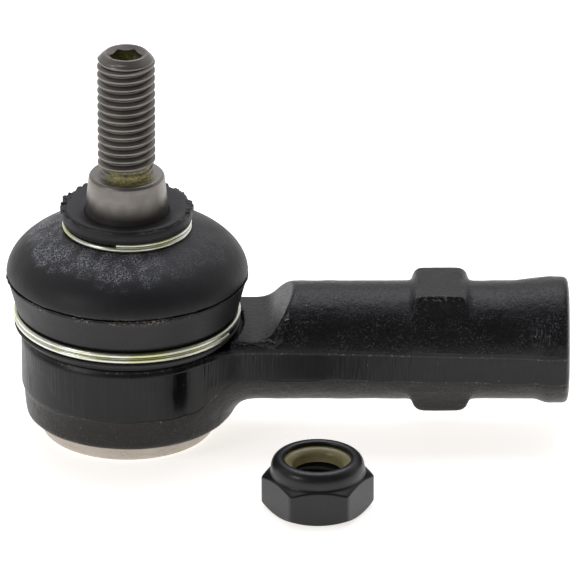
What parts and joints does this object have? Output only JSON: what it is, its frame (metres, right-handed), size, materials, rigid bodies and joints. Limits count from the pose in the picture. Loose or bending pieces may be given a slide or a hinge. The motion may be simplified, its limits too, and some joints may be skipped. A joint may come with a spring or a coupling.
{
  "type": "tie rod end",
  "caption": "Outer steering joint: forged socket and shank with a threaded bore, a swivelling ball stud under a rubber dust boot, and a loose prevailing-torque lock nut.",
  "frame": {"origin": "Centre of the mouth of the shank's threaded bore, where the tie rod goes in. The ball's centre is 77 mm behind it at x = -0.077, y = 0, z = 0.", "axes": "+X leaves the shank's bore along its axis; +Z is the way the ball stud points at rest; +Y completes the right-handed set, away from the side where the loose nut lies."},
  "size_m": [0.098, 0.062, 0.0709],
  "materials": {
    "housing_coating": "satin black coating over a forged skin",
    "bare_steel": "turned and rolled, uncoated",
    "stud_steel": "machined, oiled grey",
    "spring_steel": "tempered dark grey",
    "seat_plastic": "satin",
    "boot_rubber": "matte with mould-release dust",
    "ring_wire": "yellow zinc plated spring wire",
    "nut_steel": "black oxide, slightly glossy",
    "insert_nylon": "satin, yellowed"
  },
  "bodies": {
    "housing": {"housing": "housing_coating", "upper_ball_seat": "seat_plastic", "disc_spring": "spring_steel", "end_cap": "bare_steel", "lower_boot_ring": "ring_wire"},
    "lower_seat": {"lower_ball_seat": "seat_plastic"},
    "boot": {"dust_boot": "boot_rubber"},
    "boot_collar": {"upper_boot_ring": "ring_wire"},
    "stud": {"ball_stud": "stud_steel"},
    "nut": {"lock_nut": "nut_steel", "nylon_insert": "insert_nylon"}
  },
  "joints": [
    {"name": "seat_preload", "type": "slide", "parent": "housing", "child": "lower_seat", "axis": [0, 0, 1], "range_m": [-0.0003, 0], "stiffness_N_per_m": 1000, "springref_m": 0.0015, "deforming": ["disc_spring"]},
    {"name": "swing_direction", "type": "hinge", "parent": "housing", "child": "boot", "pos_m": [-0.077, 0, 0], "axis": [0, 0, 1], "continuous": true},
    {"name": "stud_swing", "type": "hinge", "parent": "boot", "child": "boot_collar", "pos_m": [-0.077, 0, 0], "axis": [0, 1, 0], "range_deg": [-25, 25], "deforming": ["dust_boot"]},
    {"name": "stud_spin", "type": "hinge", "parent": "boot_collar", "child": "stud", "pos_m": [-0.077, 0, 0], "axis": [0, 0, 1], "continuous": true},
    {"name": "nut_lift", "type": "slide", "parent": "housing", "child": "nut", "axis": [0, 0, 1], "range_m": [0, 0.1]}
  ]
}
